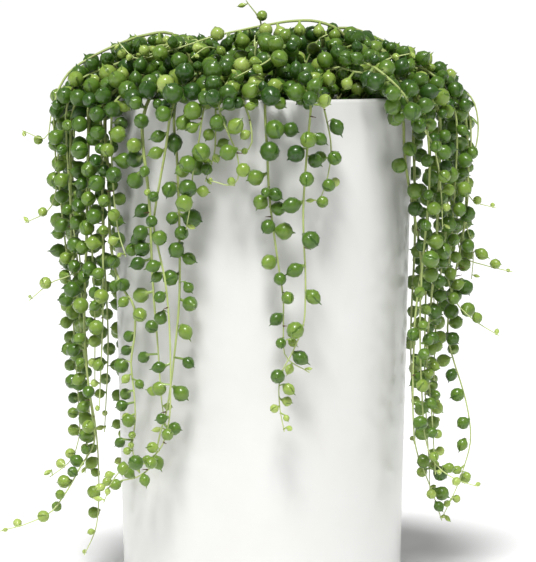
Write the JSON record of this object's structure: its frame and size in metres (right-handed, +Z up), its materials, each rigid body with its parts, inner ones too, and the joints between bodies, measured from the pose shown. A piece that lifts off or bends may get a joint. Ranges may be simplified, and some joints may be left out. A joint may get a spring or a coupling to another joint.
{
  "type": "potted string of pearls",
  "caption": "Potted string of pearls: rooted stems of bead-shaped green leaves arch over the rim of a tall plain white pot of soil and hang down on all sides.",
  "frame": {"origin": "middle of the pot's flat base, on the surface that the pot stands on", "axes": "+Z up along the pot's axis; -Y towards the picture's viewer; +X to the viewer's right"},
  "size_m": [0.2271, 0.1824, 0.2575],
  "materials": {
    "pot_glaze": "smooth white glaze, softly glossy",
    "potting_soil": "dark crumbly peat with pale grit",
    "leaves": "waxy green bead leaves with a darker clear stripe, on pale green stems"
  },
  "bodies": {
    "root": {"pot": "pot_glaze", "potting_soil": "potting_soil", "left_outer": "leaves", "left_longest": "leaves", "left_sweeping": "leaves", "left_sprig_high": "leaves", "left_sprig_middle": "leaves", "left_sprig_low": "leaves", "left_short_outer": "leaves", "left_short_inner": "leaves", "left_front_long": "leaves", "left_front_short": "leaves", "left_back_outer": "leaves", "left_back_high": "leaves", "left_back_inner": "leaves", "front_far_left": "leaves", "front_left_sweeping": "leaves", "front_left_long": "leaves", "front_left_short": "leaves", "front_left_stub": "leaves", "front_curl_outer": "leaves", "front_curl_inner": "leaves", "front_middle": "leaves", "front_middle_long": "leaves", "front_right_stub": "leaves", "front_right_slanting": "leaves", "right_front_long": "leaves", "right_front_outer": "leaves", "right_front_inner": "leaves", "right_inner": "leaves", "right_sprig_low": "leaves", "right_longest": "leaves", "right_sprig_bent": "leaves", "right_sprig_high": "leaves", "right_sprig_middle": "leaves", "right_back_outer": "leaves", "right_back_high": "leaves", "right_back_inner": "leaves", "back_1": "leaves", "back_2": "leaves", "back_3": "leaves", "back_4": "leaves", "back_5": "leaves", "back_6": "leaves", "back_7": "leaves", "back_8": "leaves", "back_9": "leaves", "back_10": "leaves", "crown_top_sprig": "leaves", "crown_across": "leaves", "crown_front_right": "leaves", "crown_runner_1": "leaves", "crown_runner_2": "leaves", "crown_runner_3": "leaves", "crown_runner_4": "leaves", "crown_runner_5": "leaves", "crown_runner_6": "leaves", "crown_runner_7": "leaves", "crown_runner_8": "leaves"}
  },
  "joints": []
}
